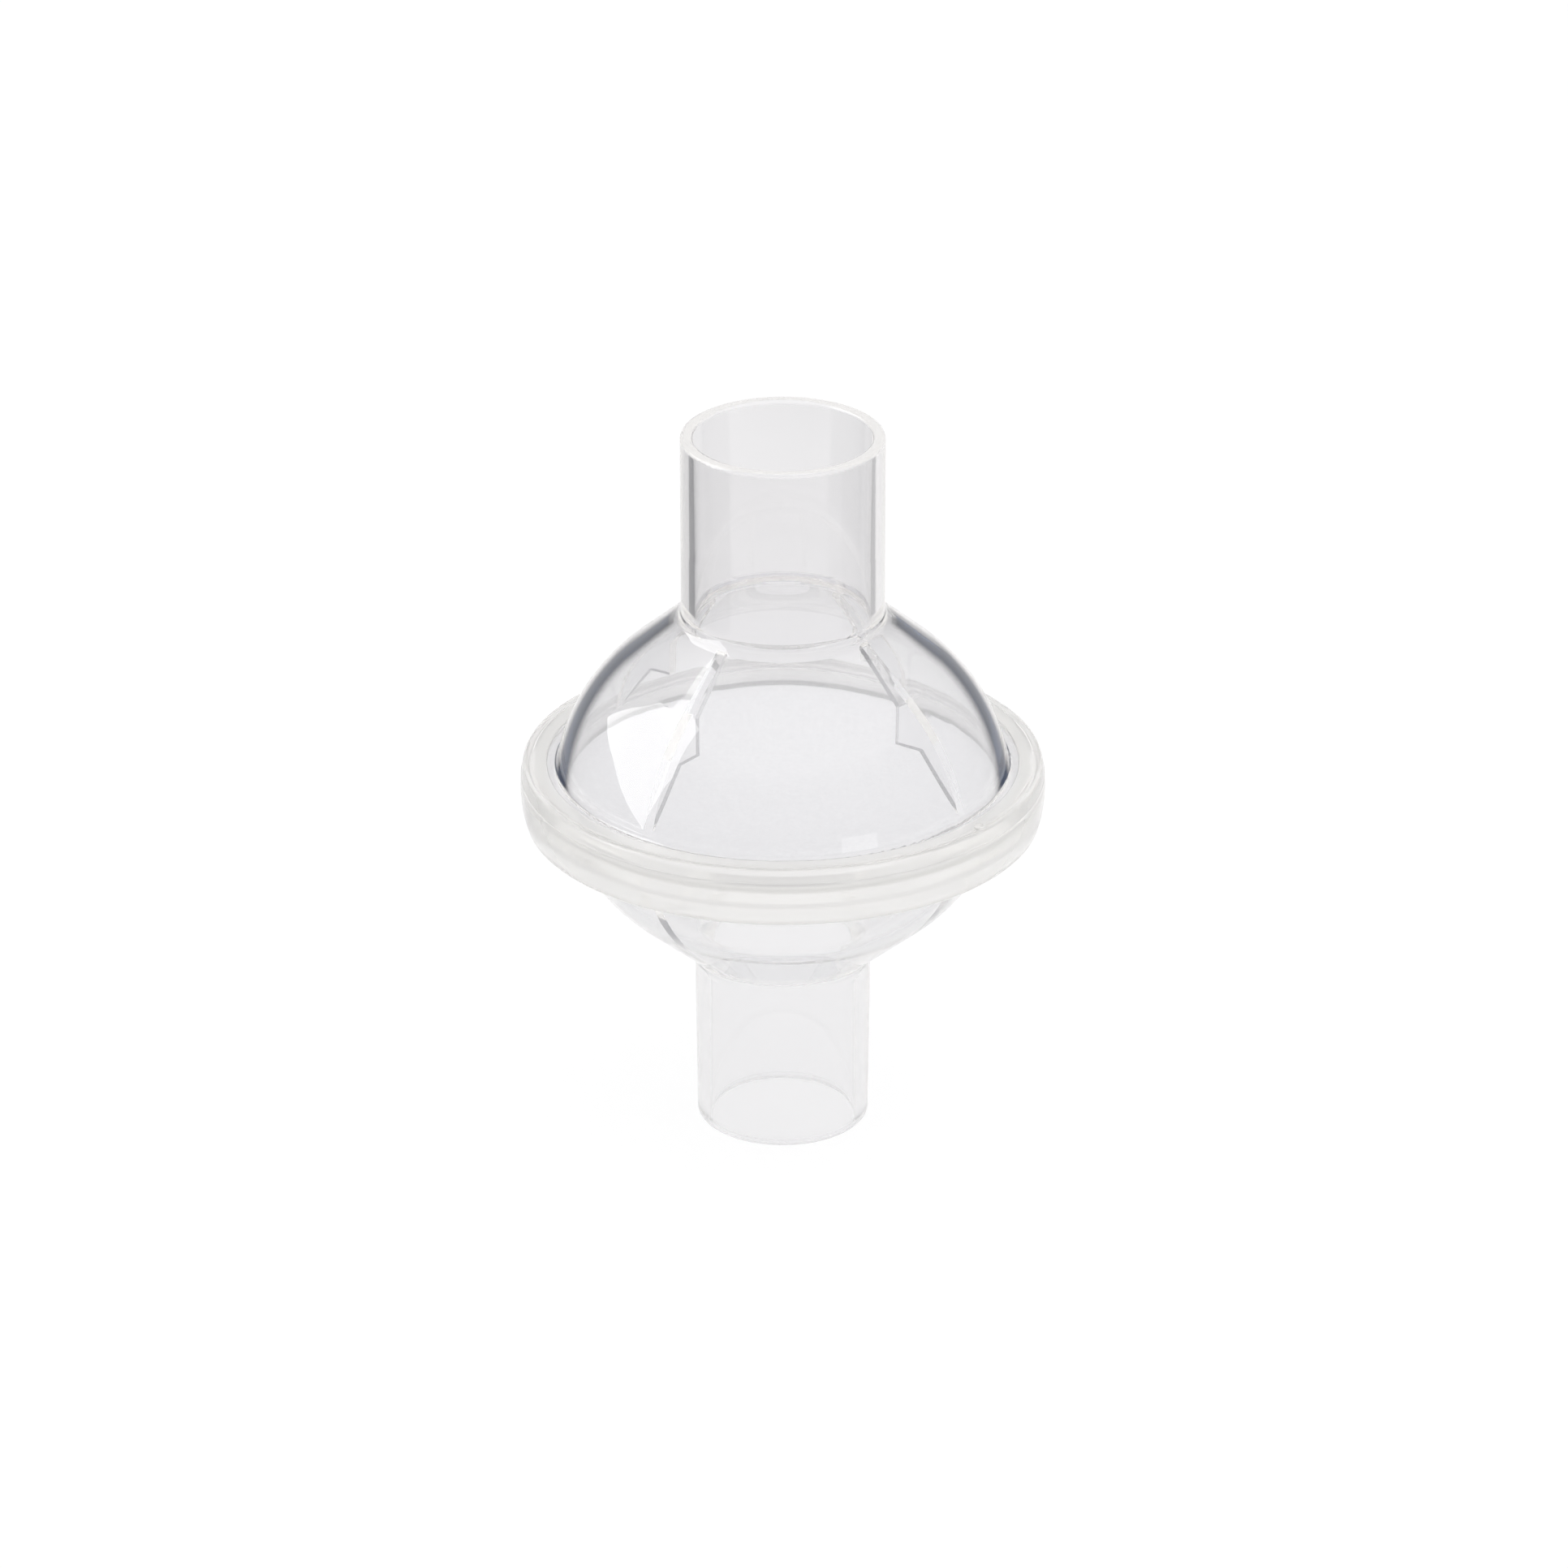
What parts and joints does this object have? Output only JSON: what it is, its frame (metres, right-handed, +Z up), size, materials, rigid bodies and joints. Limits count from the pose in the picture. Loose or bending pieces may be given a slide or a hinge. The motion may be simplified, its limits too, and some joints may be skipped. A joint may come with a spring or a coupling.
{
  "type": "breathing circuit filter",
  "caption": "Clear domed inline breathing filter with a straight upper socket, a tapered lower port, a white filter disc and a milky moulded joining band.",
  "frame": {"origin": "centre of the lower port's end face, on the surface the filter stands on", "axes": "+Z up the gas path from the lower port to the upper socket; -Y is the front, and the gate vestige on the band lies between -Y and +X"},
  "size_m": [0.0664, 0.0664, 0.0941],
  "materials": {
    "clear_shell": "clear, polished moulding",
    "filter_media": "soft nonwoven",
    "milky_band": "translucent, satin"
  },
  "bodies": {
    "root": {"upper_housing": "clear_shell", "lower_housing": "clear_shell", "filter_disc": "filter_media", "joining_ring": "milky_band"}
  },
  "joints": []
}
